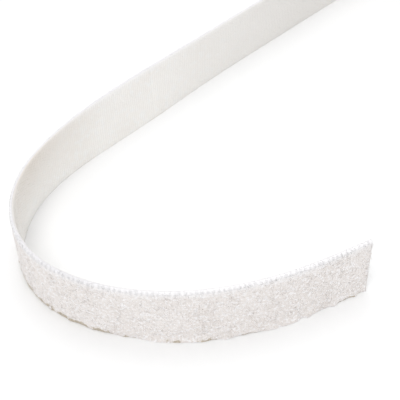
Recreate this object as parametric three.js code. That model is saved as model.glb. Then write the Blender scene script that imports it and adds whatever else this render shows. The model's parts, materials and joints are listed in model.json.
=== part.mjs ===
// Roll of self-gripping hook and loop tape lying flat, with its free end run out in a curl.
// The tape is a loop fabric, on the outer face, bonded to a thin sheet of small hooks.
// Lengths are millimetres and +Z is up. The tape stands on its edge on the ground, z = 0.
import * as THREE from "three";

// Driving dimensions of the tape
const tapeWidth = 20;
const tapeLength = 5000;
const loopFabricThickness = 1.1;
const hookSheetThickness = 0.5;

// Driving dimensions of the free run and the core
const runLength = 357;
const coreBoreRadius = 16;
const coreWall = 3;
const adhesiveThickness = 0.2;
const adhesiveLength = 30;

// Clearances: between faces that touch, and between the stretches on either side of a bend line
const seatGap = 0.3;
const hingeGap = 0.9;

// Longest straight step of a bent strip, and of the curve that the run follows
const stripStep = 2.4;
const curveStep = 0.6;

// The run's heading in degrees, at even steps from the roll to the cut end
const runHeadings = [
  218, 219.3, 220.6, 221.8, 223.1, 224.4, 224.7, 224.6, 226.4, 227.6, 225.8,
  226.8, 238.8, 261.8, 292, 325.3, 345.9, 360.8, 374.7, 385.8, 389.8,
];

// How far the run leans from upright in degrees, towards its loop face, at even steps
const runLeans = [0, 0, 0, -0.2, 0.4, 4, -0.9, 1.75, 1.4, -1.75, -1.5];

// Where the tape bends on its bend lines, as shares of the run from the roll to the cut end
const bendShares = [0, 0.35, 0.6, 0.74];

// Sizes worked out from the driving dimensions
const tapeThickness = loopFabricThickness + seatGap + hookSheetThickness;
const turnPitch = tapeThickness + seatGap;
const coreRadius = coreBoreRadius + coreWall;
const packInnerRadius = coreRadius + seatGap + adhesiveThickness + seatGap;

// The wound length is the spiral's own, from the first turn on the core to the leaving point
const woundLength = tapeLength - runLength;
const firstTurnRadius = packInnerRadius + tapeThickness / 2;
const leavingRadius = Math.sqrt(firstTurnRadius ** 2 + (woundLength * turnPitch) / Math.PI);
const rollRadius = leavingRadius + tapeThickness / 2;
const leavingAngle = THREE.MathUtils.degToRad(runHeadings[0] - 90);
const turnLength = 2 * Math.PI * leavingRadius;

// The angle of the tape's inner end on the core, as many turns back as the winding has
const turnCount = (leavingRadius - firstTurnRadius) / turnPitch;
const innerEndAngle = leavingAngle - 2 * Math.PI * turnCount;

// Each layer spans the tape's thickness from its loop face to its hook face, inner side positive
const layers = {
  loop_fabric: {
    start: -tapeThickness / 2,
    thickness: loopFabricThickness,
    colour: 0xe9e5e1,
    roughness: 0.95,
  },
  hook_sheet: {
    start: tapeThickness / 2 - hookSheetThickness,
    thickness: hookSheetThickness,
    colour: 0xe4e2dc,
    roughness: 0.6,
  },
};

const coreColour = 0xb59a78;
const woundColour = 0xebe8e4;
const adhesiveColour = 0xd9cfa6;

// A value between the entries of an evenly spaced table, on a smooth curve through them.
function smoothBetween(table, share) {
  const last = table.length - 1;
  const place = THREE.MathUtils.clamp(share, 0, 1) * last;
  const index = Math.min(Math.floor(place), last - 1);
  const t = place - index;
  const here = table[index];
  const next = table[index + 1];
  const before = index > 0 ? table[index - 1] : 2 * here - next;
  const after = index + 2 <= last ? table[index + 2] : 2 * next - here;
  const slope = (next - before) * t;
  const bend = (2 * before - 5 * here + 4 * next - after) * t ** 2;
  const rise = (3 * here - before - 3 * next + after) * t ** 3;
  return here + (slope + bend + rise) / 2;
}

function runHeading(along) {
  return THREE.MathUtils.degToRad(smoothBetween(runHeadings, along / runLength));
}

// Points of the run's centre line at even steps, found by walking along its heading.
function walkRun() {
  const steps = Math.ceil(runLength / curveStep);
  const step = runLength / steps;
  const start = new THREE.Vector2(Math.cos(leavingAngle), Math.sin(leavingAngle));
  const points = [start.multiplyScalar(leavingRadius)];
  for (let i = 0; i < steps; i += 1) {
    const heading = runHeading((i + 0.5) * step);
    const next = points[i].clone();
    next.x += Math.cos(heading) * step;
    next.y += Math.sin(heading) * step;
    points.push(next);
  }
  return points;
}

const runPoints = walkRun();

// A place on the run: along it from the roll, across it towards the hook face, and above the ground.
function placeOnRun(along, across, height) {
  const place = (along / runLength) * (runPoints.length - 1);
  const index = THREE.MathUtils.clamp(Math.floor(place), 0, runPoints.length - 2);
  const centre = runPoints[index].clone().lerp(runPoints[index + 1], place - index);
  const heading = runHeading(along);
  const lean = THREE.MathUtils.degToRad(smoothBetween(runLeans, along / runLength));
  const aside = across - height * Math.tan(lean);
  const x = centre.x - Math.sin(heading) * aside;
  const y = centre.y + Math.cos(heading) * aside;
  return new THREE.Vector3(x, y, height);
}

// The centre line's radius in the roll, which falls by one pitch in each turn back from the leaving point.
function turnRadius(turnBack) {
  return leavingRadius - (turnPitch * turnBack) / (2 * Math.PI);
}

// A place on the wound tape, where along is negative: the distance back from the leaving point.
function placeOnTurn(along, across, height) {
  const turnBack = -along / leavingRadius;
  const radius = turnRadius(turnBack) - across;
  const angle = leavingAngle - turnBack;
  return new THREE.Vector3(Math.cos(angle) * radius, Math.sin(angle) * radius, height);
}

// A place just off the core's outer face, where along runs round the core from the tape's inner end.
function placeOnCore(along, across, height) {
  const radius = coreRadius + seatGap - across;
  const angle = innerEndAngle + along / coreRadius;
  return new THREE.Vector3(Math.cos(angle) * radius, Math.sin(angle) * radius, height);
}

// A straight strip standing on its edge, bent so that its length follows a path.
function bentStrip(from, to, start, thickness, place) {
  const length = to - from;
  const steps = Math.ceil(length / stripStep);
  const geometry = new THREE.BoxGeometry(length, thickness, tapeWidth, steps, 1, 1);
  const position = geometry.getAttribute("position");
  for (let i = 0; i < position.count; i += 1) {
    const along = from + length / 2 + position.getX(i);
    const across = start + thickness / 2 + position.getY(i);
    const height = tapeWidth / 2 + position.getZ(i);
    const point = place(along, across, height);
    position.setXYZ(i, point.x, point.y, point.z);
  }
  geometry.computeVertexNormals();
  return geometry;
}

function namedMesh(name, geometry, color, roughness) {
  const material = new THREE.MeshStandardMaterial({ color, roughness, metalness: 0 });
  const mesh = new THREE.Mesh(geometry, material);
  mesh.name = name;
  return mesh;
}

// An outline raised to the tape's width, with its round edges stepped as finely as a strip is.
function upright(outline, radius) {
  const curveSegments = Math.ceil((2 * Math.PI * radius) / stripStep);
  const settings = { depth: tapeWidth, bevelEnabled: false, curveSegments };
  return new THREE.ExtrudeGeometry(outline, settings);
}

// The cardboard core, open right through.
function makeCore() {
  const outline = new THREE.Shape().absarc(0, 0, coreRadius, 0, 2 * Math.PI);
  outline.holes.push(new THREE.Path().absarc(0, 0, coreBoreRadius, 0, 2 * Math.PI));
  return namedMesh("core_tube", upright(outline, coreRadius), coreColour, 0.9);
}

// The double-sided strip that holds the tape's inner end to the core.
function makeCoreAdhesive() {
  const geometry = bentStrip(0, adhesiveLength, -adhesiveThickness, adhesiveThickness, placeOnCore);
  return namedMesh("core_adhesive_strip", geometry, adhesiveColour, 0.5);
}

// All turns under the outer one, as one spiral-edged ring with a step where the outer turn starts.
function makeInnerTurns() {
  const steps = Math.ceil(turnLength / stripStep);
  const edge = [];
  for (let i = 0; i <= steps; i += 1) {
    const turnBack = (2 * Math.PI * i) / steps;
    const radius = turnRadius(turnBack) - tapeThickness / 2 - seatGap;
    const angle = leavingAngle - turnBack;
    edge.push(new THREE.Vector2(Math.cos(angle) * radius, Math.sin(angle) * radius));
  }
  const outline = new THREE.Shape(edge);
  outline.holes.push(new THREE.Path().absarc(0, 0, packInnerRadius, 0, 2 * Math.PI));
  return namedMesh("inner_turns", upright(outline, packInnerRadius), woundColour, 0.95);
}

// Both layers of one stretch of tape, one mesh each.
function makeStretch(name, from, to, place) {
  return Object.entries(layers).map(([layerName, layer]) => {
    const geometry = bentStrip(from, to, layer.start, layer.thickness, place);
    return namedMesh(`${name}_${layerName}`, geometry, layer.colour, layer.roughness);
  });
}

// The outer turn, from its inner end against the step to the line where the run leaves the roll.
function makeOuterTurn() {
  return makeStretch("outer_turn", seatGap - turnLength, -hingeGap / 2, placeOnTurn);
}

// The run's stretches between bend lines, from the roll to the cut end.
function makeRun() {
  const names = ["run_root", "run_back", "run_bend", "run_front"];
  const lines = bendShares.map((share) => share * runLength);
  return names.flatMap((name, i) => {
    const from = lines[i] + hingeGap / 2;
    const to = i + 1 < lines.length ? lines[i + 1] - hingeGap / 2 : runLength;
    return makeStretch(name, from, to, placeOnRun);
  });
}

// Least distance between the two faces of a wound layer, one turn apart.
function leastGapToItself(layer) {
  const steps = Math.ceil(turnLength / stripStep);
  const apart = turnLength / 2;
  const inner = layer.start + layer.thickness;
  let least = Infinity;
  for (let i = 0; i <= steps; i += 1) {
    const here = -(turnLength * i) / steps;
    const point = placeOnTurn(here, inner, 0);
    for (let j = 0; j <= steps; j += 1) {
      const there = -(turnLength * j) / steps;
      if (Math.abs(here - there) > apart) {
        least = Math.min(least, point.distanceTo(placeOnTurn(there, layer.start, 0)));
      }
    }
  }
  return least;
}

const roll = new THREE.Group();
roll.add(makeCore(), makeCoreAdhesive(), makeInnerTurns(), ...makeOuterTurn(), ...makeRun());

// The origin is under the middle of the whole object, on the ground.
const box = new THREE.Box3().setFromObject(roll);
const middle = box.getCenter(new THREE.Vector3());
roll.position.set(-middle.x, -middle.y, -box.min.z);

for (const [layerName, layer] of Object.entries(layers)) {
  console.log(`outer turn, ${layerName}: least gap to itself ${leastGapToItself(layer).toFixed(2)} mm`);
}
const asText = (place) => place.toArray().map((value) => value.toFixed(3));
console.log(`roll radius ${rollRadius.toFixed(2)} mm, centre at ${asText(roll.position)}`);
for (const share of bendShares) {
  const line = placeOnRun(share * runLength, 0, tapeWidth / 2).add(roll.position);
  console.log(`bend line at share ${share}: ${asText(line)}`);
}

const hookAndLoopTapeRoll = new THREE.Group();
hookAndLoopTapeRoll.add(roll);

export default hookAndLoopTapeRoll;
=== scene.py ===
import json
import math

import bpy
import numpy as np
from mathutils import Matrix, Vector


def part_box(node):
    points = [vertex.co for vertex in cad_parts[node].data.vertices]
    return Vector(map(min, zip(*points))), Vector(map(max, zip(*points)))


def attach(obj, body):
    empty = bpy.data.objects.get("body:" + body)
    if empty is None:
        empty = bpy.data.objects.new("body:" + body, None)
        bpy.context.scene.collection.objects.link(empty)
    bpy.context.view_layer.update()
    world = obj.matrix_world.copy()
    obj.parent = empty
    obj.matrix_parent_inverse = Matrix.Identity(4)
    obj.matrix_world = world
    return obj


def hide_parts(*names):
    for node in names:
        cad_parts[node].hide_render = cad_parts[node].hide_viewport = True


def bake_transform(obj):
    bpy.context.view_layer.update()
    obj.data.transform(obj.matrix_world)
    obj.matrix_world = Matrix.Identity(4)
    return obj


# Roll of self-gripping hook and loop tape: pile of nylon loops outside, ribbed hook sheet inside.
# Flat tape space is (along, height, out): along the tape from the roll, up its width, out of the loop face.
# Out is measured from the middle of the tape's thickness, and the roll lies on its side on the ground.
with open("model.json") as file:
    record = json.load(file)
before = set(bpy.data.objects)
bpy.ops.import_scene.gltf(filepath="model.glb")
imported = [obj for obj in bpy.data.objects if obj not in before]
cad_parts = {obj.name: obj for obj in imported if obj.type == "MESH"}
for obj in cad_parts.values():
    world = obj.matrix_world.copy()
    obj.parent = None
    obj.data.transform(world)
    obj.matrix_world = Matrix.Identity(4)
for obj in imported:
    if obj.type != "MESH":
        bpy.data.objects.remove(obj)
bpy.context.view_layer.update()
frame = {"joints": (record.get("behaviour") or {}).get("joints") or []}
mm = 0.001

# Tape and path, the same as the solids that this dresses

tape = {
    "length": 5000 * mm,
    "width": 20 * mm,
    "turnPitch": 2.2 * mm,
    "runLength": 357 * mm,
    "pathStep": 0.6 * mm,
    # degrees, at even steps from the roll to the cut end
    "headings": (218, 219.3, 220.6, 221.8, 223.1, 224.4, 224.7, 224.6, 226.4, 227.6, 225.8,
                 226.8, 238.8, 261.8, 292, 325.3, 345.9, 360.8, 374.7, 385.8, 389.8),
    "leans": (0, 0, 0, -0.2, 0.4, 4, -0.9, 1.75, 1.4, -1.75, -1.5),
    "bendShares": (0, 0.35, 0.6, 0.74),  # where the run bends, as shares of its length
    "bendReach": 18 * mm,  # how far a bend spreads to each side of its line
    "rollSeam": 20 * mm,  # how far behind the leaving line the first moving stretch starts
}
tapeWidth = tape["width"]

winding = {
    "rampShare": 0.22,  # share of a turn near the core in which it climbs over the tape's start
    "tighter": 0.6 * mm,  # how much closer to the core the first turn lies
    "evenTurns": 1.2,  # outer turns that keep to the even spiral
    "stagger": 0.2 * mm,  # how far the turns' edges stray up
    "staggerSize": 35 * mm,
    "staggerSeed": 11,
    "settle": 50 * mm,  # length behind the leaving line over which they settle on the ground
}

# Ragged slit edges, and the cut end
slit = {
    "lift": 0.28 * mm,  # how far a lower edge strays up from the surface that it stands on
    "calmLift": 0.3,  # share of the lift that is left away from the soiled place
    "waveSize": 6 * mm,
    "waveSeed": 3,
    "waves": 0.7,  # strength of the long waves, in lifts, like the next three
    "nickSize": 1.3 * mm,
    "nickSeed": 4,
    "nicks": 0.5,
    "level": 0.15,
    "least": 0.05,
    "overhang": 0.45 * mm,  # how far the cloth of the cut end stands past the run's length
    "endRounding": 0.6 * mm,
    "endDrop": 0.12 * mm,
    "clearance": 0.01 * mm,  # of its fibres over the ground
    "pastEdge": 1.12,  # place of the row just past a rounding, in its radii
}

# Flare of the loop face where it meets the ground
flare = {
    "most": 0.8 * mm,  # how far it stands out, in the strongest places
    "reach": 2.5 * mm,  # height at which it has faded away
    "depth": 0.4 * mm,  # place in the tape's thickness from which it is full
    "waveSize": 11 * mm,
    "waveSeed": 5,
    "stepSize": 1.7 * mm,
    "stepSeed": 6,
    "steps": 0.7,  # strength of the short waves beside the long ones
    "level": 0.25,
}

# Brown soiling of the lower edges, which also paints the dark contact shade where they meet the ground
soilAndContactShade = {
    # places along the tape, how far each reaches, and how strong it is
    "places": ((262 * mm, 36 * mm, 1.0), (307 * mm, 16 * mm, 0.4)),
    "scale": 130.0,  # of the noise that breaks the soiling
    "raise": 0.14,  # what the nearness of a place adds to that noise
    "clear": 0.50,  # noise under which an edge is clean
    "full": 0.56,  # noise over which it is soiled
    "edge": 2.0,  # strength at the very edge, of which 1 shows
    "growth": 2.0,  # how much higher it reaches at a place, in its own reaches
    "toothScale": 800.0,  # of the noise that gives its border teeth
    "toothNoise": (0.35, 0.65),
    "teeth": (0.2, 1.6),  # least and most that they reach, in its own reaches
}

hookSheet = {
    "outer": -0.30 * mm,
    "inner": -0.70 * mm,
    "meet": -0.40 * mm,  # where its two faces meet at an edge
    "outerRounding": 0.05 * mm,  # of the upper edge, on each face
    "innerRounding": 0.75 * mm,
    "lowerRounding": 0.06 * mm,
    "raggedness": 0.12,  # share of the slit edge's lift
    "shift": 40 * mm,  # along the slit edge's pattern, against the ground
    "ribPitch": 0.84 * mm,
    "rib": 0.05 * mm,
    # steps along and up, and rows round an edge
    "detail": {"run": (0.21 * mm, 2.4 * mm, 4), "turn": (1.2 * mm, 2.4 * mm, 4),
               "wound": (2.4 * mm, 9 * mm, 3)},
}


def smoothBetween(table, share):
    # value between even entries of a table: a cubic through four neighbours, straight past the ends
    table = np.asarray(table, float)
    last = len(table) - 1
    padded = np.concatenate([[2 * table[0] - table[1]], table, [2 * table[last] - table[last - 1]]])
    place = np.clip(share, 0, 1) * last
    index = np.minimum(place.astype(int), last - 1)
    t = place - index
    before, here, after, far = (padded[index + k] for k in range(4))
    slope = (after - before) * t
    bend = (2 * before - 5 * here + 4 * after - far) * t**2
    rise = (3 * here - before - 3 * after + far) * t**3
    return here + (slope + bend + rise) / 2


def eased(t):
    # from 0 to 1 with level ends: a cubic
    return t * t * (3 - 2 * t)


def fading(distance, reach):
    # 1 at no distance, falling evenly to 0 at the reach
    return np.clip(1 - distance / reach, 0, 1)


def latticeNoise(a, b, size, seed):
    # smooth value noise: random heights on a square lattice, eased between its corners, -1 to 1
    count = 64  # squares after which it repeats
    table = np.random.default_rng(seed).uniform(-1, 1, (count, count))
    x, y = np.broadcast_arrays(a / size, b / size)
    ix, iy = np.floor(x).astype(int), np.floor(y).astype(int)
    fx, fy = eased(x - ix), eased(y - iy)
    low, high = (table[ix % count, row % count] * (1 - fx) + table[(ix + 1) % count, row % count] * fx
                 for row in (iy, iy + 1))
    return low * (1 - fy) + high * fy


def lineNoise(along, size, seed):
    # the same noise along one line of its lattice
    return latticeNoise(along, along * 0, size, seed)


def joined(*coordinates):
    # one array of points from arrays of their coordinates, which are spread to one shape
    return np.stack(np.broadcast_arrays(*coordinates), axis=-1)


rollCentre = np.mean(np.array(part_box("core_tube"), float), axis=0)[:2]
peelLine = np.array([j for j in frame["joints"] if j["name"] == "peel_line"][0]["pos_m"], float)[:2]
leavingRadius = np.linalg.norm(peelLine - rollCentre)
leavingAngle = math.radians(tape["headings"][0] - 90)
woundLength = tape["length"] - tape["runLength"]
firstTurnRadius = math.sqrt(leavingRadius**2 - woundLength * tape["turnPitch"] / math.pi)
turnCount = (leavingRadius - firstTurnRadius) / tape["turnPitch"]
outerTurnLength = 2 * math.pi * leavingRadius - math.pi * tape["turnPitch"]


def walkRun():
    # centre line of the run: steps of equal length, each along the heading at its middle
    count = math.ceil(tape["runLength"] / tape["pathStep"])
    step = tape["runLength"] / count
    heading = np.radians(smoothBetween(tape["headings"], (np.arange(count) + 0.5) / count))
    moves = step * joined(np.cos(heading), np.sin(heading))
    start = rollCentre + leavingRadius * np.array([math.cos(leavingAngle), math.sin(leavingAngle)])
    return np.vstack([start, start + np.cumsum(moves, axis=0)])


runLine = walkRun()


def onRun(along, height, out):
    # point beside the centre line: to its right by out, plus the sideways lean at that height
    share = along / tape["runLength"]
    place = np.clip(share, 0, 1) * (len(runLine) - 1)
    x, y = (np.interp(place, np.arange(len(runLine)), runLine[:, k]) for k in (0, 1))
    heading = np.radians(smoothBetween(tape["headings"], share))
    past = along - np.clip(along, 0, tape["runLength"])  # fibres that stick out of the cut end
    aside = out + height * np.tan(np.radians(smoothBetween(tape["leans"], share)))
    return joined(x + np.cos(heading) * past + np.sin(heading) * aside,
                  y + np.sin(heading) * past - np.cos(heading) * aside, height)


def roundAxis(angle, radius, height):
    # point at an angle and a radius about the roll's axis
    x, y = rollCentre
    return joined(x + np.cos(angle) * radius, y + np.sin(angle) * radius, height)


def onRoll(along, height, out):
    # point on the winding: a spiral outside; near the core a turn is round, then climbs over its start
    pitch = tape["turnPitch"]
    length = np.clip(-along, 0, woundLength)
    turnBack = (leavingRadius - np.sqrt(leavingRadius**2 - pitch * length / math.pi)) * 2 * math.pi / pitch
    turns = turnCount - turnBack / (2 * math.pi)
    even = np.clip(turns / (turnCount - winding["evenTurns"]), 0, 1)
    whole = np.floor(turns)
    climb = eased(np.clip((turns - whole - 1 + winding["rampShare"]) / winding["rampShare"], 0, 1))
    turned = whole + climb + (turns - whole - climb) * even
    radius = firstTurnRadius + pitch * turned - winding["tighter"] * (1 - even) + out
    stray = 0.5 + 0.5 * lineNoise(along, winding["staggerSize"], winding["staggerSeed"])
    lift = winding["stagger"] * stray * np.clip(length / winding["settle"], 0, 1)
    return roundAxis(leavingAngle - turnBack, radius, height + lift)


def standOff(along, height, out):
    # how far the loop face flares near the ground: lattice noise, fading up the width and into the tape
    waves = lineNoise(along, flare["waveSize"], flare["waveSeed"])
    noise = waves + flare["steps"] * lineNoise(along, flare["stepSize"], flare["stepSeed"])
    fade = fading(height, flare["reach"]) ** 2 * np.clip(out / flare["depth"], 0, 1)
    return flare["most"] * np.clip(flare["level"] + noise, 0, 1) * fade


def onTape(flat):
    # flat tape space to the real place, wound where along is below zero and run out beyond it
    along, height, out = (flat[..., k] for k in range(3))
    out = out + standOff(along, height, out)
    return np.where((along < 0)[..., None], onRoll(along, height, out), onRun(along, height, out))


def centrePoint(along):
    return tuple(map(float, onTape(np.array([along, tapeWidth / 2, 0.0]))))


# Meshes

def addObject(name, data):
    item = bpy.data.objects.new(name, data)
    bpy.context.scene.collection.objects.link(item)
    return item


def makePiece(name, points, faceLists, material, uvs=None):
    # one mesh from whole arrays: points, lists of faces with equal corner counts, and a uv per point
    mesh = bpy.data.meshes.new(name)
    corners = np.concatenate([faces.ravel() for faces in faceLists])
    totals = np.concatenate([np.full(len(faces), faces.shape[1]) for faces in faceLists])
    starts = np.concatenate([[0], np.cumsum(totals)[:-1]])
    mesh.vertices.add(len(points))
    mesh.vertices.foreach_set("co", np.ascontiguousarray(points, np.float32).ravel())
    mesh.loops.add(len(corners))
    mesh.loops.foreach_set("vertex_index", corners.astype(np.int32))
    mesh.polygons.add(len(totals))
    mesh.polygons.foreach_set("loop_start", starts.astype(np.int32))
    mesh.polygons.foreach_set("use_smooth", np.full(len(totals), True))
    if uvs is not None:
        layer = mesh.uv_layers.new(name="tapeMap")
        layer.data.foreach_set("uv", uvs[corners].astype(np.float32).ravel())
    mesh.update(calc_edges=True)
    mesh.materials.append(material)
    return addObject(name, mesh)


def evenSteps(start, end, step):
    return np.linspace(start, end, math.ceil((end - start) / step) + 1)


def ringWall(columns, ring, closed=False):
    # quads between rings of corners, one ring for each column; a closed wall joins its last to its first
    i, k = np.meshgrid(np.arange(columns if closed else columns - 1), np.arange(ring), indexing="ij")
    here, ahead, after = i * ring, (i + 1) % columns * ring, (k + 1) % ring
    return joined(here + k, ahead + k, ahead + after, here + after).reshape(-1, 4)


def stripFaces(columns, rows):
    # faces of a closed strip: outer rows up and inner rows down make one ring, with a lid on each end
    ring = 2 * rows - 2
    j = np.arange(rows)
    inner = (ring - j) % ring
    quads, tris = [ringWall(columns, ring)], []
    for base, order in ((0, 1), ((columns - 1) * ring, -1)):
        lid = joined(j[1:-2], j[2:-1], inner[2:-1], inner[1:-2]) + base
        ends = np.array([[0, 1, inner[1]], [rows - 2, rows - 1, inner[rows - 2]]]) + base
        quads.append(lid[:, ::order])
        tris.append(ends[:, ::order])
    return [np.vstack(quads), np.vstack(tris)]


def stripPoints(along, rows, layer, outer, inner):
    # flat points of a closed strip: each face drops to the meeting line on a quarter ellipse at both edges
    faces = []
    for face, upper in ((outer, layer["outerRounding"]), (inner, layer["innerRounding"])):
        below = fading(rows, layer["lowerRounding"])
        above = fading(tapeWidth - rows, upper)
        fullness = np.sqrt((1 - below**2) * (1 - above**2))
        aside = layer["meet"] + (face - layer["meet"]) * fullness[None, :]
        faces.append(joined(along[:, None], rows[None, :], aside))
    return np.concatenate([faces[0], faces[1][:, -2:0:-1]], axis=1)


def makeTubes(name, paths, radius, across, sites, material):
    # three-sided tubes along many short flat paths at once: rings of corners square to each path, kept over
    # the ground and brought to the tape's real place; the uv map holds the site of each tube
    ahead = np.gradient(paths, axis=1)
    ahead /= np.linalg.norm(ahead, axis=-1, keepdims=True)
    across = across[:, None, :] / np.linalg.norm(across, axis=-1)[:, None, None]
    normal = np.cross(np.broadcast_to(across, ahead.shape), ahead)
    turn = (np.arange(3) * 2 * math.pi / 3)[:, None]
    ring = normal[:, :, None] * np.cos(turn) + across[:, :, None] * np.sin(turn)
    flat = paths[:, :, None] + ring * radius[:, :, None, None]
    count, steps = paths.shape[:2]
    first = (np.arange(count) * steps * 3)[:, None, None]
    wall = first + ringWall(steps, 3)[:, [0, 3, 2, 1]]
    last = (steps - 1) * 3
    lids = np.concatenate([first[:, 0] + [[2, 1, 0]], first[:, 0] + last + [[0, 1, 2]]])
    flat[..., 1] = np.maximum(flat[..., 1], slit["clearance"])
    uvs = np.repeat(sites / tapeWidth, steps * 3, axis=0)
    return makePiece(name, onTape(flat).reshape(-1, 3), [wall.reshape(-1, 4), lids], material, uvs)


# Shader helpers

def newMaterial(name):
    material = bpy.data.materials.new(name)
    material.use_nodes = True
    tree = material.node_tree
    return material, tree, tree.nodes["Principled BSDF"]


def feed(node, values):
    # for each input: an output of another node is linked, a colour gets its alpha, a number is set as it is
    for key, value in values.items():
        socket = node.inputs[key]
        if isinstance(value, bpy.types.NodeSocket):
            node.id_data.links.new(value, socket)
        else:
            socket.default_value = (*value, 1.0) if socket.type == "RGBA" else value


def addNode(tree, kind, values=None, **settings):
    node = tree.nodes.new(kind)
    for key, value in settings.items():
        setattr(node, key, value)
    feed(node, values or {})
    return node


def addMath(tree, operation, *terms, **settings):
    node = addNode(tree, "ShaderNodeMath", dict(enumerate(terms)), operation=operation, **settings)
    return node.outputs[0]


def addRange(tree, value, low, high, toLow=0.0, toHigh=1.0):
    # even ramp from toLow at low to toHigh at high, level beyond them
    values = {"Value": value, "From Min": low, "From Max": high, "To Min": toLow, "To Max": toHigh}
    return addNode(tree, "ShaderNodeMapRange", values).outputs["Result"]


def addNoise(tree, vector, scale, detail, roughness=0.5):
    values = {"Vector": vector, "Scale": scale, "Detail": detail, "Roughness": roughness}
    return addNode(tree, "ShaderNodeTexNoise", values).outputs["Fac"]


def newGroup(name, values, masks):
    # group with a vector and numbers going in and masks coming out
    group = bpy.data.node_groups.new(name, "ShaderNodeTree")
    face = group.interface
    face.new_socket("Vector", in_out="INPUT", socket_type="NodeSocketVector")
    for socketName, value in values.items():
        socket = face.new_socket(socketName, in_out="INPUT", socket_type="NodeSocketFloat")
        socket.default_value = value
    for socketName in masks:
        face.new_socket(socketName, in_out="OUTPUT", socket_type="NodeSocketFloat")
    given = group.nodes.new("NodeGroupInput").outputs
    return group, given, group.nodes.new("NodeGroupOutput")


def makeMottleGroup():
    # patches: a broad and a fine cloud noise weighed together, whose middle is stretched to 0..1
    middle = (0.3, 0.7)
    values = {"Broad Scale": 200.0, "Fine Scale": 1500.0, "Fine Share": 0.5}
    group, given, result = newGroup("fibreMottle", values, ["Mask"])
    broad = addNoise(group, given["Vector"], given["Broad Scale"], detail=3.0, roughness=0.6)
    fine = addNoise(group, given["Vector"], given["Fine Scale"], detail=4.0, roughness=0.65)
    mix = addNode(group, "ShaderNodeMix", {"Factor": given["Fine Share"], "A": broad, "B": fine},
                  data_type="FLOAT")
    feed(result, {"Mask": addRange(group, mix.outputs["Result"], *middle)})
    return group


def addNearness(tree, along, middle, reach, most=1.0):
    # the most at the middle, falling evenly to 0 at the reach on both sides, over the uv map's tape widths
    away = addMath(tree, "SUBTRACT", along, middle / tapeWidth)
    return addRange(tree, addMath(tree, "ABSOLUTE", away), reach / tapeWidth, 0.0, toHigh=most)


def makeEdgeGroup():
    # masks over the height share: lower is full at the slit edge and falls to 0 at a reach that a noise
    # gives teeth, and a broad noise breaks it; both grow round a soiled place, and lower carries brown
    # soiling that also paints contact shade; on top, the Band mask carries a painted highlight and the Rim
    # mask painted light and shade
    values = {"Height": 0.5, "Along": 0.0, "Lower Reach": 0.02, "Band Reach": 0.08, "Rim Reach": 0.01}
    group, given, result = newGroup("slitEdge", values, ["Lower", "Band", "Rim"])
    places = [addNearness(group, given["Along"], *place) for place in soilAndContactShade["places"]]
    near = addMath(group, "MAXIMUM", *places)
    noise = addNoise(group, given["Vector"], soilAndContactShade["scale"], detail=3.0, roughness=0.7)
    raised = addMath(group, "MULTIPLY_ADD", near, soilAndContactShade["raise"], noise)
    broken = addRange(group, raised, soilAndContactShade["clear"], soilAndContactShade["full"])
    growth = addMath(group, "MULTIPLY_ADD", near, soilAndContactShade["growth"], 1.0)
    grown = addMath(group, "MULTIPLY", growth, given["Lower Reach"])
    teeth = addNoise(group, given["Vector"], soilAndContactShade["toothScale"], detail=2.0)
    cut = addRange(group, teeth, *soilAndContactShade["toothNoise"], *soilAndContactShade["teeth"])
    reach = addMath(group, "MULTIPLY", grown, cut)
    lower = addRange(group, given["Height"], 0.0, reach, toLow=soilAndContactShade["edge"], toHigh=0.0)
    masks = {"Lower": addMath(group, "MULTIPLY", lower, broken, use_clamp=True)}
    for name in ("Band", "Rim"):
        start = addMath(group, "SUBTRACT", 1.0, given[f"{name} Reach"])
        masks[name] = addRange(group, given["Height"], start, 1.0)
    feed(result, masks)
    return group


mottleGroup = makeMottleGroup()
edgeGroup = makeEdgeGroup()


def mixColours(tree, factor, first, second):
    # first and second are colours, or the outputs of nodes
    return addNode(tree, "ShaderNodeMix", {0: factor, 6: first, 7: second}, data_type="RGBA").outputs[2]


def newMottled(name, look):
    # two tones mixed by patches, which set the roughness too
    material, tree, shader = newMaterial(name)
    coords = addNode(tree, "ShaderNodeTexCoord").outputs
    broad, fine, share = look["mottle"]
    values = {"Vector": coords["Object"], "Broad Scale": broad, "Fine Scale": fine, "Fine Share": share}
    patches = addNode(tree, "ShaderNodeGroup", values, node_tree=mottleGroup).outputs["Mask"]
    colour = mixColours(tree, patches, look["dark"], look["light"])
    feed(shader, {"Base Color": colour, "Roughness": addRange(tree, patches, 0.0, 1.0, *look["roughness"]),
                  "Specular IOR Level": look["specular"]})
    return material, tree, shader, coords, patches


def addTone(tree, shader, factor, tone):
    # another colour over the shader's own, where the factor is high
    base = shader.inputs["Base Color"].links[0].from_socket
    feed(shader, {"Base Color": mixColours(tree, factor, base, tone)})


def addBump(tree, shader, height, distance, strength):
    # another relief over the shader's own
    bump = addNode(tree, "ShaderNodeBump", {"Height": height, "Distance": distance, "Strength": strength})
    for link in shader.inputs["Normal"].links:
        feed(bump, {"Normal": link.from_socket})
    feed(shader, {"Normal": bump.outputs["Normal"]})


def addWave(tree, vector, direction, period, distortion):
    # bands across the tape map: the texture repeats every pi / 10 of its scaled length
    scale = tapeWidth / period * math.pi / 10
    values = {"Vector": vector, "Scale": scale, "Distortion": distortion, "Detail": 1.0}
    return addNode(tree, "ShaderNodeTexWave", values, bands_direction=direction).outputs["Fac"]


# Looks of the tape: colours, texture scales, and how far the masks of its edges reach, in tape widths

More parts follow.
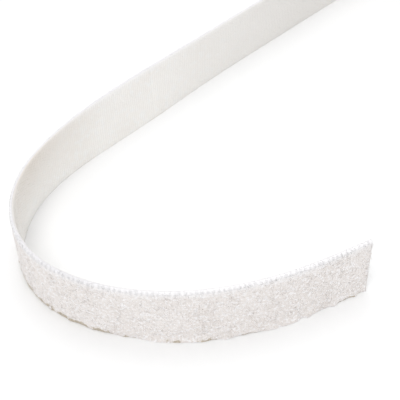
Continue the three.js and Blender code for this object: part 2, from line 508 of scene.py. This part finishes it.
tapeLook = {
    "fleckNoise": (0.50, 0.68),  # noise between which the flecks grow
    # the rim's tones are painted light and shade: darker on the back arm, lighter on the front arm
    "rimShadingChange": (274 * mm, 300 * mm),  # where the rim turns from its back tone to its front tone
    "sheenRoughness": 0.4,
}
pileLook = {
    "dark": (0.87, 0.825, 0.795), "light": (0.95, 0.915, 0.895),
    "mottle": (130.0, 1300.0, 0.3),  # broad and fine scale of the patches, and the share of the fine ones
    # pale flecks: paler fibres, which on the pile also paint glints of light on the nylon
    "fleckAndGlint": (0.998, 0.985, 0.985), "fleckScale": 1300.0,
    # upper stripe: painted highlight, where light from above catches the loops at the top of the face
    "litBand": (0.99, 0.98, 0.99), "frontRimShading": (0.99, 0.98, 0.99), "backRimShading": (0.89, 0.88, 0.895),
    # lower edge: brown soiling, which also paints the contact shade at the slit edge
    "lowerEdge": (0.72, 0.66, 0.56),
    "reach": {"Lower": 0.030, "Band": 0.15, "Rim": 0.045}, "roughness": (0.35, 0.6), "sheen": 0.15,
    "specular": 0.5,
}
groundLook = {
    **pileLook, "dark": (0.82, 0.77, 0.74), "light": (0.90, 0.86, 0.84), "fleckAndGlint": (0.96, 0.94, 0.945),
    # the ground's rim: painted light on the front arm that offsets the shade between the beads, painted
    # shade on the back arm
    "frontRimShading": (0.97, 0.96, 0.975), "backRimShading": (0.83, 0.82, 0.84), "lowerEdge": (0.52, 0.45, 0.36),
    "reach": {"Lower": 0.028, "Band": 0.14, "Rim": 0.045}, "roughness": (0.5, 0.7), "specular": 0.3,
    "stitch": {"X": 0.7 * mm, "Y": 0.9 * mm}, "stitchWander": 1.2, "grainScale": 3200.0,
}
hookLook = {
    "dark": (0.93, 0.90, 0.865), "light": (0.98, 0.968, 0.945), "mottle": (60.0, 2600.0, 0.35),
    "fleckAndGlint": (0.955, 0.95, 0.935), "fleckScale": 500.0,
    # the hook sheet's rim: painted shade, darker than its faces and darkest on the back arm
    "litBand": (0.955, 0.945, 0.94), "frontRimShading": (0.86, 0.85, 0.865), "backRimShading": (0.82, 0.81, 0.825),
    "lowerEdge": (0.80, 0.74, 0.65),
    "reach": {"Lower": 0.008, "Band": 0.10, "Rim": 0.012}, "roughness": (0.42, 0.55), "sheen": 0.05,
    # painted shade of the rib hollows: its colour, the part of the wave where it grows, and its strength
    "specular": 0.4, "valleyShade": (0.86, 0.84, 0.81), "valleyShadeWave": (0.35, 1.0), "valleyShadeStrength": 0.4,
    "markPitch": 0.3 * mm, "grainScale": 2600.0,
    # painted shade, browner: under the rim at the bend, and along the back arm toward the roll;
    # where along the tape, how far that reaches, and the heights between which it grows
    "paintedShades": ((224 * mm, 34 * mm, (0.2, 0.9), (0.82, 0.77, 0.715)),
               (95 * mm, 75 * mm, (-1.0, 0.0), (0.83, 0.81, 0.785))),
}


def makeTapeMaterial(name, look):
    # nylon: paler flecks where a fine noise is high, on the pile partly painted glints, then the masks of
    # the edges, with painted light and shade on the rim, which changes by a ramp from the back arm's darker
    # tone to the front arm's lighter one
    material, tree, shader, coords, _ = newMottled(name, look)
    flat = addNode(tree, "ShaderNodeSeparateXYZ", {"Vector": coords["UV"]}).outputs
    # paler flecks, which on the pile also paint glints of light
    speckle = addNoise(tree, coords["Object"], look["fleckScale"], detail=1.0)
    addTone(tree, shader, addRange(tree, speckle, *tapeLook["fleckNoise"]), look["fleckAndGlint"])
    values = {"Vector": coords["Object"], "Height": flat["Y"], "Along": flat["X"]}
    for key, reach in look["reach"].items():
        values[f"{key} Reach"] = reach
    edge = addNode(tree, "ShaderNodeGroup", values, node_tree=edgeGroup).outputs
    # painted light and shade of the rim: a ramp along the tape from the back arm's darker tone to the front
    # arm's lighter
    ahead = addRange(tree, flat["X"], *(along / tapeWidth for along in tapeLook["rimShadingChange"]))
    rim = mixColours(tree, ahead, look["backRimShading"], look["frontRimShading"])
    for mask, tone in (("Band", look["litBand"]), ("Rim", rim), ("Lower", look["lowerEdge"])):
        addTone(tree, shader, edge[mask], tone)
    feed(shader, {"Sheen Weight": look["sheen"], "Sheen Roughness": tapeLook["sheenRoughness"]})
    return material, tree, shader, coords


def makePileMaterial():
    return makeTapeMaterial("nylonPile", pileLook)[0]


def makeGroundMaterial():
    # knitted ground under the pile: crossed waves along and up the tape, with fine grain over them
    material, tree, shader, coords = makeTapeMaterial("knittedGround", groundLook)
    stitches = (addWave(tree, coords["UV"], direction, period, groundLook["stitchWander"])
                for direction, period in groundLook["stitch"].items())
    knit = addMath(tree, "MULTIPLY", *stitches)
    grain = addNoise(tree, coords["Object"], groundLook["grainScale"], detail=3.0)
    addBump(tree, shader, grain, distance=0.12 * mm, strength=0.6)
    addBump(tree, shader, knit, distance=0.15 * mm, strength=0.5)
    return material


def makeHookMaterial():
    # moulded hook sheet: painted shade in the hollows between the ribs, darker along a wave with the ribs'
    # period; painted shade, browner, where a nearness along the tape times a ramp up it is high; a grain of
    # moulding marks
    material, tree, shader, coords = makeTapeMaterial("mouldedHooks", hookLook)
    ribShadeWave = addWave(tree, coords["UV"], "X", hookSheet["ribPitch"], distortion=0.0)
    deep = addRange(tree, ribShadeWave, *hookLook["valleyShadeWave"], toHigh=hookLook["valleyShadeStrength"])
    addTone(tree, shader, deep, hookLook["valleyShade"])
    flat = addNode(tree, "ShaderNodeSeparateXYZ", {"Vector": coords["UV"]}).outputs
    # painted shade: browner near each place along the tape, growing between its heights
    for middle, reach, heights, tone in hookLook["paintedShades"]:
        near = addNearness(tree, flat["X"], middle, reach)
        addTone(tree, shader, addMath(tree, "MULTIPLY", near, addRange(tree, flat["Y"], *heights)), tone)
    grain = addNoise(tree, coords["Object"], hookLook["grainScale"], detail=3.0)
    marks = addWave(tree, coords["UV"], "X", hookLook["markPitch"], distortion=0.6)
    addBump(tree, shader, grain, distance=0.05 * mm, strength=0.5)
    addBump(tree, shader, marks, distance=0.03 * mm, strength=0.4)
    return material


boardLook = {
    "dark": (0.42, 0.29, 0.175), "light": (0.55, 0.405, 0.27), "fibre": (0.60, 0.465, 0.33),
    "mottle": (90.0, 900.0, 0.5), "roughness": (0.75, 0.95), "specular": 0.25,
    "fibreScale": 3.0, "fibreStretch": (90.0, 60.0, 1.0), "fibreNoise": (0.42, 0.62),
}


def makeBoardMaterial():
    # cardboard: brown patches, long pale and dark fibres from a noise stretched round the tube, fine grain
    material, tree, shader, coords, patches = newMottled("coreBoard", boardLook)
    values = {"Vector": coords["UV"], "Scale": boardLook["fibreStretch"]}
    place = addNode(tree, "ShaderNodeMapping", values).outputs["Vector"]
    fibres = addNoise(tree, place, boardLook["fibreScale"], detail=5.0, roughness=0.7)
    addTone(tree, shader, addRange(tree, fibres, *boardLook["fibreNoise"]), boardLook["fibre"])
    addBump(tree, shader, fibres, distance=0.12 * mm, strength=0.6)
    addBump(tree, shader, patches, distance=0.08 * mm, strength=0.4)
    return material


adhesiveLook = {
    "dark": (0.74, 0.66, 0.42), "light": (0.86, 0.81, 0.62),
    "mottle": (300.0, 2000.0, 0.5), "roughness": (0.25, 0.5), "specular": 0.5,
}


def makeAdhesiveMaterial():
    # adhesive film: pale amber, cloudy where bubbles are caught under it, half glossy
    material, tree, shader, _, bubbles = newMottled("adhesiveFilm", adhesiveLook)
    addBump(tree, shader, bubbles, distance=0.05 * mm, strength=0.4)
    return material


materials = {"pile": makePileMaterial(), "ground": makeGroundMaterial(), "hooks": makeHookMaterial(),
             "board": makeBoardMaterial(), "adhesive": makeAdhesiveMaterial()}
print("materials made")

# Stretches of tape, each over at most one bend line, with the bodies on its two sides listed

bendLines = [share * tape["runLength"] for share in tape["bendShares"]]
runEnd = tape["runLength"] + slit["overhang"]
seams = [-tape["rollSeam"], *[(a + b) / 2 for a, b in zip(bendLines, bendLines[1:])], runEnd]
runBodies = ["roll", "run_root", "run_back", "run_bend", "run_front"]
stretches = [
    {"name": "wound", "detail": "wound", "node": "inner_turns", "bodies": ["roll"],
     "ends": (-woundLength, -outerTurnLength)},
    {"name": "turn", "detail": "turn", "node": "outer_turn", "bodies": ["roll"],
     "ends": (-outerTurnLength, seams[0])},
]
for number, line in enumerate(bendLines):
    body = runBodies[number + 1]
    stretches.append({"name": body.replace("run_", ""), "detail": "run", "node": body, "line": line,
                      "bodies": runBodies[number:number + 2], "ends": seams[number:number + 2]})


def joinBodies(piece, stretch):
    if len(stretch["bodies"]) == 1:
        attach(piece, stretch["bodies"][0])
    else:
        near, far = (centrePoint(stretch["line"] + side * tape["bendReach"]) for side in (-1, 1))
        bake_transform(piece)


# Layers of the tape

def lowerEdge(along):
    # ragged lower edge: long waves and short nicks of lattice noise, fullest round the first soiled place
    waves = slit["waves"] * lineNoise(along, slit["waveSize"], slit["waveSeed"])
    nicks = slit["nicks"] * lineNoise(along, slit["nickSize"], slit["nickSeed"])
    middle, reach, most = soilAndContactShade["places"][0]
    near = most * fading(np.abs(along - middle), 2 * reach)
    strength = slit["calmLift"] + (1 - slit["calmLift"]) * near
    return slit["lift"] * strength * np.clip(slit["level"] + waves + nicks, slit["least"], 1)


def trim(flat, layer):
    # lift the lower rows to the ragged edge, and draw the corners in at the cut end
    flat = flat.copy()
    rise = layer["raggedness"] * lowerEdge(flat[..., 0] + layer["shift"])
    near = fading(runEnd - flat[..., 0], slit["endRounding"])
    drop = slit["endDrop"] * (1 - np.sqrt(1 - near**2))
    flat[..., 1] = rise + flat[..., 1] * (tapeWidth - rise - drop) / tapeWidth
    return flat


def layerGrid(stretch, layer):
    # steps along a stretch, and heights of the rows up it: on quarter circles at both edges, with a row
    # just past them that keeps the faces' shading flat, and even between them
    step, rowStep, edgeSteps = layer["detail"][stretch["detail"]]
    upper = sorted([layer["outerRounding"], layer["innerRounding"]])
    if stretch["detail"] == "wound":
        upper = upper[1:]
    quarter = np.append(1 - np.cos(np.linspace(0, math.pi / 2, edgeSteps)), slit["pastEdge"])
    low, high = (np.unique(np.round(np.outer(roundings, quarter), 8))
                 for roundings in ([layer["lowerRounding"]], upper))
    high = tapeWidth - high[::-1]
    rows = np.concatenate([low, evenSteps(low[-1], high[0], rowStep)[1:-1], high])
    return evenSteps(*stretch["ends"], step), rows


def makeLayer(name, layer, along, rows, outer, inner, material):
    # closed strip between its outer and inner face, on the tape's real path, with its flat place as uv map
    flat = stripPoints(along, rows, layer, outer, inner)
    points = onTape(trim(flat, layer)).reshape(-1, 3)
    uvs = flat[..., :2].reshape(-1, 2) / tapeWidth
    return makePiece(name, points, stripFaces(len(along), len(rows)), material, uvs)


# Knitted ground of the loop fabric

ground = {
    "outer": 0.50 * mm,
    "inner": -0.28 * mm,
    "meet": -0.02 * mm,  # where its two faces meet at an edge
    "outerRounding": 0.95 * mm,  # of the upper edge, on each face
    "innerRounding": 0.08 * mm,
    "lowerRounding": 0.10 * mm,
    "raggedness": 1.0,
    "shift": 0.0,
    "lump": 0.06 * mm,
    "lumpSize": 1.1 * mm,
    "lumpSeed": 7,
    "detail": {"run": (0.6 * mm, 0.6 * mm, 5), "turn": (1.0 * mm, 1.0 * mm, 4),
               "wound": (2.4 * mm, 9 * mm, 3)},
}


def makeGround(stretch):
    # strip whose outer face swells with lattice noise
    along, rows = layerGrid(stretch, ground)
    swell = latticeNoise(along[:, None], rows[None, :], ground["lumpSize"], ground["lumpSeed"])
    outer = ground["outer"] + ground["lump"] * swell
    inner = np.full_like(outer, ground["inner"])
    return makeLayer(f"loopGround_{stretch['name']}", ground, along, rows, outer, inner, materials["ground"])


# Pile of loops on the ground

pile = {
    "pitchAlong": 0.92 * mm,
    "pitchUp": 0.70 * mm,
    "perSite": 3,
    "spread": 0.5 * mm,
    "span": (0.36 * mm, 0.8 * mm),
    "rise": (0.12 * mm, 0.22 * mm),
    "radius": (0.05 * mm, 0.08 * mm),
    "tilt": 45,  # degrees that a loop may lean over
    "proud": {"share": 0.16, "rise": 1.45, "radius": 1.7, "turn": 0.5},  # thicker loops, as factors
    "crown": (0.3, 1.0),  # height of a loop's crown over the ground, in radii
    "lowestSite": 0.3 * mm,
    "lowest": 0.03 * mm,  # over the ragged lower edge
    "highest": 20.35 * mm,
    "shoulder": 0.30,  # share of the upper shoulder that it covers
    "pieceLength": 55 * mm,
    "detail": {"run": (1.0, 5), "turn": (0.20, 5)},  # share of the loops that it carries, and their steps
}
topOfFace = tapeWidth - ground["outerRounding"]
shoulderDepth = ground["outer"] - ground["meet"]
shoulderLength = math.pi / 2 * math.sqrt((ground["outerRounding"] ** 2 + shoulderDepth**2) / 2)


def overShoulder(up):
    # place and slope on the ground's outer side: up the face, round the shoulder's quarter, in at the rim
    turn = np.clip((up - topOfFace) / shoulderLength, 0, 1) * math.pi / 2
    past = np.maximum(up - topOfFace - shoulderLength, 0)
    height = np.minimum(np.maximum(up, 0), topOfFace) + ground["outerRounding"] * np.sin(turn)
    out = ground["meet"] + shoulderDepth * np.cos(turn) - past
    return height, out, turn


def makeLoops(name, sites, steps, span, rise, sink, radius, turn, tilt):
    # arches: half an ellipse from foot to foot, turned on its site, leaning by its tilt, over the shoulder
    tilt = np.radians(tilt)
    angle = np.linspace(0, math.pi, steps)[None, :]
    ahead = -np.cos(angle) * span[:, None] / 2
    above = np.sin(angle) * rise[:, None]
    side = above * np.tan(tilt)[:, None]
    c, s = np.cos(turn)[:, None], np.sin(turn)[:, None]
    along = sites[:, :1] + ahead * c - side * s
    height, out, slope = overShoulder(sites[:, 1:] + ahead * s + side * c)
    above = above - sink[:, None]
    heights = np.clip(height + above * np.sin(slope), lowerEdge(along) + pile["lowest"], pile["highest"])
    paths = joined(along, heights, out + above * np.cos(slope))
    slope = overShoulder(sites[:, 1:])[2]
    lean = -np.tan(tilt)[:, None]
    square = np.concatenate([-s, c * np.cos(slope) + lean * np.sin(slope),
                             -c * np.sin(slope) + lean * np.cos(slope)], axis=1)
    radius = np.repeat(radius[:, None], steps, axis=1)
    return makeTubes(name, paths, radius, square, sites, materials["pile"])


def drawSizes(draw, loops, count):
    return [draw.uniform(*loops[key], count) for key in ("span", "rise", "radius")]


def makePile(name, start, end, detail, seed):
    # sites of a knitted grid, jittered, each with a few arches drawn at random
    share, steps = pile["detail"][detail]
    top = topOfFace + pile["shoulder"] * shoulderLength
    draw = np.random.default_rng(seed)
    along, up = np.meshgrid(np.arange(start + pile["pitchAlong"] / 2, end, pile["pitchAlong"]),
                            np.arange(pile["pitchUp"] / 2, top, pile["pitchUp"]), indexing="ij")
    sites = np.repeat(joined(along.ravel(), up.ravel()), pile["perSite"], axis=0)
    sites = sites[draw.uniform(size=len(sites)) < share]
    count = len(sites)
    sites = sites + draw.normal(0, pile["spread"], (count, 2))
    low, high = np.array([start, pile["lowestSite"]]), np.array([end, top])
    sites = high - np.abs(high - (low + np.abs(sites - low)))  # those past a border are folded back
    span, rise, radius = drawSizes(draw, pile, count)
    turn = draw.uniform(0, math.pi, count)
    tilt = draw.uniform(-pile["tilt"], pile["tilt"], count)
    proud = draw.uniform(size=count) < pile["proud"]["share"]
    rise[proud] *= pile["proud"]["rise"]
    radius[proud] *= pile["proud"]["radius"]
    turn[proud] *= pile["proud"]["turn"]
    sink = rise - draw.uniform(*pile["crown"], count) * radius
    return makeLoops(name, sites, steps, span, rise, sink, radius, turn, tilt)


# Scallops: bundles of thicker loops laid over the upper shoulder at an even pitch, like beads

scallops = {
    "seed": 61,
    "pitch": 1.4 * mm,
    "jitter": 0.10 * mm,
    "lift": (0.75, 1.1),  # rise of a bundle, as a factor
    "rounding": 0.8,  # how much less the outer strands of a bundle rise
    "flat": 0.5,  # how high they stand on the back arm, as a share of that on the front arm
    "risesAt": (235 * mm, 285 * mm),  # where along the tape they reach their full height
    "strands": {"run": 9, "turn": 4},
    "width": 0.40 * mm,
    "middle": 0.46,  # share of the shoulder at which they lie
    "strayUp": 0.14 * mm,
    "span": (0.95 * mm, 1.5 * mm),
    "rise": (0.21 * mm, 0.36 * mm),
    "radius": (0.06 * mm, 0.09 * mm),
    "sink": 0.09 * mm,
    "turn": 0.22,  # radians that a strand strays from straight up
    "tilt": 15,
    "steps": 8,
}


def makeScallops(stretch):
    # each strand crosses the shoulder from the face to the rim; a bundle's outer strands rise less, and all
    # rise less on the back arm
    draw = np.random.default_rng(scallops["seed"])
    start, end = stretch["ends"]
    middles = np.arange(start + scallops["pitch"] / 2, end, scallops["pitch"])
    middles = middles + draw.normal(0, scallops["jitter"], len(middles))
    strands = scallops["strands"][stretch["detail"]]
    lift = np.repeat(draw.uniform(*scallops["lift"], len(middles)), strands)
    aside = draw.uniform(-1, 1, len(lift))
    count = len(lift)
    along = np.repeat(middles, strands) + aside * scallops["width"]
    up = topOfFace + shoulderLength * scallops["middle"] + draw.normal(0, scallops["strayUp"], count)
    span, rise, radius = drawSizes(draw, scallops, count)
    rise = rise * lift * np.sqrt(1 - scallops["rounding"] * aside**2)
    rise = rise * np.interp(along, scallops["risesAt"], (scallops["flat"], 1))
    turn = math.pi / 2 + draw.normal(0, scallops["turn"], count)
    tilt = draw.uniform(-scallops["tilt"], scallops["tilt"], count)
    return makeLoops(f"edgeScallops_{stretch['name']}", joined(along, up), scallops["steps"], span, rise,
                     np.full(count, scallops["sink"]), radius, turn, tilt)


# Rims of the wound turns: a thin row of loops that stands up between the turns

rims = {
    "seed": {"upper": 71, "lower": 72},
    "pitch": 1.5 * mm,
    "share": {"upper": 1.0, "lower": 0.35},
    "middle": {"upper": topOfFace + shoulderLength * 0.75, "lower": 0.3 * mm},
    "jitter": 0.3 * mm,
    "strayUp": 0.18 * mm,
    "border": (0.15 * mm, topOfFace + shoulderLength + 0.22 * mm),
    "span": (0.6 * mm, 1.2 * mm),
    "rise": (0.22 * mm, 0.42 * mm),
    "radius": (0.05 * mm, 0.08 * mm),
    "sink": 0.05 * mm,
    "turn": 0.9,  # radians
    "tilt": 45,  # degrees
    "steps": 5,
}


def makeRimLoops(stretch, edge):
    # one loop per pitch on the shoulder; the lower rim's are kept on the face just over the ground
    draw = np.random.default_rng(rims["seed"][edge])
    along = np.arange(*stretch["ends"], rims["pitch"] / rims["share"][edge])
    count = len(along)
    along = np.clip(along + draw.normal(0, rims["jitter"], count), *stretch["ends"])
    up = np.clip(rims["middle"][edge] + draw.normal(0, rims["strayUp"], count), *rims["border"])
    span, rise, radius = drawSizes(draw, rims, count)
    turn = draw.uniform(-rims["turn"], rims["turn"], count)
    tilt = draw.uniform(-rims["tilt"], rims["tilt"], count)
    return makeLoops(f"{edge}RimLoops_{stretch['name']}", joined(along, up), rims["steps"], span, rise,
                     np.full(count, rims["sink"]), radius, turn, tilt)


# Frayed yarn ends at the cut end

frays = {
    "seed": 81,
    "count": 90,
    "length": (0.4 * mm, 1.3 * mm),
    "radius": (0.03 * mm, 0.05 * mm),
    "taper": 0.5,
    "wander": 0.55,
    "root": 0.3 * mm,  # how deep in the cloth they start
    "margins": (0.5 * mm, 0.6 * mm),  # to the lower and the upper edge
    "steps": 5,
}


def makeFrays():
    # short yarns from the cut face: each runs on along the tape and wanders by the square of its course
    draw = np.random.default_rng(frays["seed"])
    count = frays["count"]
    t = np.linspace(0, 1, frays["steps"])[None, :]
    length = draw.uniform(*frays["length"], count)[:, None]
    wander = draw.normal(0, frays["wander"], (count, 2))
    below, above = frays["margins"]
    height = draw.uniform(below, tapeWidth - above, count)[:, None]
    out = draw.uniform(ground["inner"], ground["outer"], count)[:, None]
    heights = np.clip(height + length * wander[:, :1] * t**2, pile["lowest"], pile["highest"])
    paths = joined(runEnd - frays["root"] + length * t, heights, out + length * wander[:, 1:] * t**2)
    radius = draw.uniform(*frays["radius"], count)[:, None] * (1 - frays["taper"] * t)
    sites = np.concatenate([paths[:, 0, :1], height], axis=1)
    return makeTubes("frayedYarns", paths, radius, np.array([[0.0, 0.3, 1.0]]), sites, materials["pile"])


# Hook sheet with its ribs, and its rows of hooks

def makeHookSheet(stretch):
    # strip whose inner face carries ribs on the run: a cosine wave along the tape
    along, rows = layerGrid(stretch, hookSheet)
    ribs = hookSheet["rib"] * np.cos(2 * math.pi * along / hookSheet["ribPitch"])[:, None]
    ribs = ribs * (stretch["detail"] == "run")
    inner = np.broadcast_to(hookSheet["inner"] - ribs, (len(along), len(rows)))
    outer = np.full_like(inner, hookSheet["outer"])
    name = f"hookSheet_{stretch['name']}"
    return makeLayer(name, hookSheet, along, rows, outer, inner, materials["hooks"])


hooks = {
    "pitchUp": 1.0 * mm,
    "edge": 0.7 * mm,
    "stem": ((0, 0), (0.01, 0.13), (0.07, 0.20), (0.15, 0.15)),  # ahead and up, mm, from foot to tip
    "radius": (0.085, 0.065, 0.05, 0.035),  # mm, from foot to tip
    "sink": 0.03 * mm,
}


def makeHooks(stretch):
    # one row of hooks on each rib, every second row set half a pitch up and turned the other way
    pitch = hookSheet["ribPitch"]
    start, end = stretch["ends"]
    low, high = math.ceil(max(0, start) / pitch), math.floor(end / pitch)
    heights = np.arange(hooks["edge"], tapeWidth - hooks["edge"], hooks["pitchUp"])
    ribNumber, up = (grid.ravel() for grid in np.meshgrid(np.arange(low, high), heights, indexing="ij"))
    odd = ribNumber % 2
    up = up + odd * hooks["pitchUp"] / 2
    way = 1 - 2 * odd
    stem = np.array(hooks["stem"]) * mm
    ahead = ribNumber[:, None] * pitch + way[:, None] * stem[None, :, 0]
    out = hookSheet["inner"] - hookSheet["rib"] + hooks["sink"] - stem[None, :, 1]
    paths = joined(ahead, up[:, None], out)
    radius = np.tile(np.array(hooks["radius"]) * mm, (len(up), 1))
    sites = joined(ribNumber * pitch, up)
    return makeTubes(f"hooks_{stretch['name']}", paths, radius, np.array([[0.0, 1.0, 0.0]]), sites,
                     materials["hooks"])


def dressStretch(number, stretch):
    # both layers of one stretch, with what stands on them
    name, detail = stretch["name"], stretch["detail"]
    start, end = stretch["ends"]
    length = end - start
    base, sheet = makeGround(stretch), makeHookSheet(stretch)
    if detail == "wound":
        tufts = [makeRimLoops(stretch, "upper"), makeRimLoops(stretch, "lower")]
        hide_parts("inner_turns")
    else:
        parts = math.ceil(length / pile["pieceLength"] * pile["detail"][detail][0])
        ends = np.linspace(start, end, parts + 1)
        tufts = [makePile(f"loopPile_{name}_{part + 1}", ends[part], ends[part + 1], detail,
                          100 * number + part) for part in range(parts)]
        tufts.append(makeScallops(stretch))
    hookRows = [makeHooks(stretch)] if detail == "run" else []
    if name == "front":
        tufts.append(makeFrays())
    for layer, upon, slot in ((base, tufts, "loop_fabric"), (sheet, hookRows, "hook_sheet")):
        if detail != "wound":
            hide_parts(f"{stretch['node']}_{slot}")
        for piece in (layer, *upon):
            joinBodies(piece, stretch)


for number, stretch in enumerate(stretches):
    dressStretch(number, stretch)
    print("dressed stretch", stretch["name"])

# Core of spiral-wound board, and the adhesive film round it

core = {
    "bore": 16 * mm,
    "wall": 3 * mm,
    "edge": 0.25 * mm,
    "plies": 6,
    "plySteps": 5,
    "plyGroove": 0.07 * mm,
    "seamDepth": 0.16 * mm,
    "seamWidth": 0.35 * mm,
    "seamRise": 14 * mm,  # how far the ply's seam climbs in a quarter turn
    "columns": 200,
    "rowStep": 1 * mm,
}
coreRadius = core["bore"] + core["wall"]


def coreProfile():
    # closed outline in radius and height: up the bore, over the plies' edges, down the outside, and back;
    # a high power of a cosine makes the narrow grooves between the plies
    low, high = core["edge"], tapeWidth - core["edge"]
    heights = evenSteps(low, high, core["rowStep"])
    across = np.linspace(core["bore"] + core["edge"], coreRadius - core["edge"],
                         core["plies"] * core["plySteps"] + 1)
    ply = core["plies"] * (across - core["bore"]) / core["wall"]
    grooves = core["plyGroove"] * np.abs(np.cos(math.pi * ply)) ** 8
    return np.vstack([joined(core["bore"], heights), joined(across, tapeWidth - grooves),
                      joined(coreRadius, heights[::-1]), joined(across[::-1], grooves[::-1])])


def makeCore():
    # outline turned about the axis; a seam runs round both walls as a groove along a helix
    outline = coreProfile()
    columns, ring = core["columns"], len(outline)
    angle = (np.arange(columns) * 2 * math.pi / columns)[:, None]
    radius, height = (np.broadcast_to(outline[:, k], (columns, ring)) for k in (0, 1))
    climb = height / (core["seamRise"] * 4) * 2 * math.pi
    off = np.angle(np.exp(1j * (angle - climb))) * radius
    groove = core["seamDepth"] * np.exp(-((off / core["seamWidth"]) ** 2))
    wallSide = np.where(radius < core["bore"] + core["wall"] / 2, 1.0, -1.0)
    between = np.abs(height - tapeWidth / 2) < tapeWidth / 2 - core["edge"]
    points = roundAxis(angle, radius + groove * wallSide * between, height)
    faces = ringWall(columns, ring, closed=True)[:, [0, 3, 2, 1]]
    uvs = joined((np.arange(columns) / columns)[:, None], np.arange(ring) / ring).reshape(-1, 2)
    piece = makePiece("coreTube", points.reshape(-1, 3), [faces], materials["board"], uvs)
    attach(piece, "roll")
    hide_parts("core_tube")


adhesive = {
    "thickness": 0.18 * mm,
    "length": 30 * mm,
    "edge": 0.3 * mm,
    "seat": 0.01 * mm,  # its gap to the core
    "wander": 0.5 * mm,  # of its torn ends
    "tearSize": 2 * mm,
    "tearSeed": 21,
    "step": 0.5 * mm,
}


def makeAdhesive():
    # thin film on the core where the tape starts, its ends torn along lattice noise
    start = leavingAngle - 2 * math.pi * turnCount
    heights = evenSteps(adhesive["edge"], tapeWidth - adhesive["edge"], adhesive["step"])
    share = evenSteps(0, adhesive["length"], adhesive["step"]) / adhesive["length"]
    torn = adhesive["wander"] * lineNoise(heights, adhesive["tearSize"], adhesive["tearSeed"])
    along = share[:, None] * (adhesive["length"] - 2 * torn[None, :]) + torn[None, :]
    angle = start + along / coreRadius
    angle = np.concatenate([angle, angle[:, ::-1]], axis=1)
    count = len(heights)
    radius = coreRadius + adhesive["seat"] + np.repeat([adhesive["thickness"], 0], count)
    points = roundAxis(angle, radius, np.concatenate([heights, heights[::-1]]))
    columns, ring = angle.shape
    j = np.arange(count - 1)
    lid = joined(j, j + 1, ring - 2 - j, ring - 1 - j)
    faces = np.vstack([ringWall(columns, ring), lid, lid[:, ::-1] + (columns - 1) * ring])
    piece = makePiece("adhesiveFilm", points.reshape(-1, 3), [faces], materials["adhesive"])
    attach(piece, "roll")
    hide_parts("core_adhesive_strip")


makeCore()
makeAdhesive()
print("core made")

# Camera, at the photograph's angle: its target on the ground is placed from the peel line

cameraValues = {"aside": (-107.575 * mm, -154.175 * mm), "distance": 307 * mm, "pitch": 45.72,
                "focalPixels": 1011, "imagePixels": 400, "sensor": 36.0, "clipStart": 10 * mm}


def makeCamera():
    data = bpy.data.cameras.new("camera")
    data.sensor_width = cameraValues["sensor"]
    data.lens = cameraValues["focalPixels"] / cameraValues["imagePixels"] * cameraValues["sensor"]
    data.clip_start = cameraValues["clipStart"]
    camera = addObject("camera", data)
    pitch = math.radians(cameraValues["pitch"])
    x, y = peelLine + np.array(cameraValues["aside"])
    distance = cameraValues["distance"]
    camera.location = (x, y - distance * math.cos(pitch), distance * math.sin(pitch))
    camera.rotation_euler = (math.pi / 2 - pitch, 0, 0)
    bpy.context.scene.camera = camera


makeCamera()

# Floor, lamps and world

studio = {
    "floorSize": 6.0,
    "floorColour": (0.885, 0.888, 0.89),
    "floorLift": 0.03,  # brightness added to the floor as the camera sees it, to bring it to white
    "worldStrength": 0.78,
    # strength, spread, elevation and direction from +X in degrees
    "suns": {"back": (0.42, 30, 70, 92), "front": (0.82, 25, 65, 247)},
}


def makeFloor():
    material, tree, shader = newMaterial("paleFloor")
    path = addNode(tree, "ShaderNodeLightPath").outputs
    seen = addMath(tree, "MAXIMUM", path["Is Camera Ray"], path["Is Glossy Ray"])
    feed(shader, {"Base Color": studio["floorColour"], "Roughness": 0.9, "Specular IOR Level": 0.0,
                  "Emission Color": (1, 1, 1),
                  "Emission Strength": addMath(tree, "MULTIPLY", seen, studio["floorLift"])})
    corners = studio["floorSize"] / 2 * np.array([(-1, -1, 0), (1, -1, 0), (1, 1, 0), (-1, 1, 0)])
    makePiece("floor", corners, [np.array([[0, 1, 2, 3]])], material)


def makeSuns():
    for name, (strength, spread, elevation, direction) in studio["suns"].items():
        sun = bpy.data.lights.new(f"{name}Sun", "SUN")
        sun.energy = strength
        sun.angle = math.radians(spread)
        lamp = addObject(f"{name}Sun", sun)
        lamp.rotation_euler = (0, math.radians(90 - elevation), math.radians(direction))


def makeWorld():
    # even pale dome, which the camera and mirror rays see as white
    world = bpy.data.worlds.new("paleRoom")
    world.use_nodes = True
    tree = world.node_tree
    path = addNode(tree, "ShaderNodeLightPath").outputs
    seen = addMath(tree, "MAXIMUM", path["Is Camera Ray"], path["Is Glossy Ray"])
    clear = addMath(tree, "MAXIMUM", seen, path["Is Transmission Ray"])
    strength = addRange(tree, clear, 0.0, 1.0, toLow=studio["worldStrength"])
    feed(tree.nodes["Background"], {"Color": (1, 1, 1), "Strength": strength})
    bpy.context.scene.world = world


makeFloor()
makeSuns()
makeWorld()
bpy.context.scene.view_settings.view_transform = "Standard"
print("studio made")
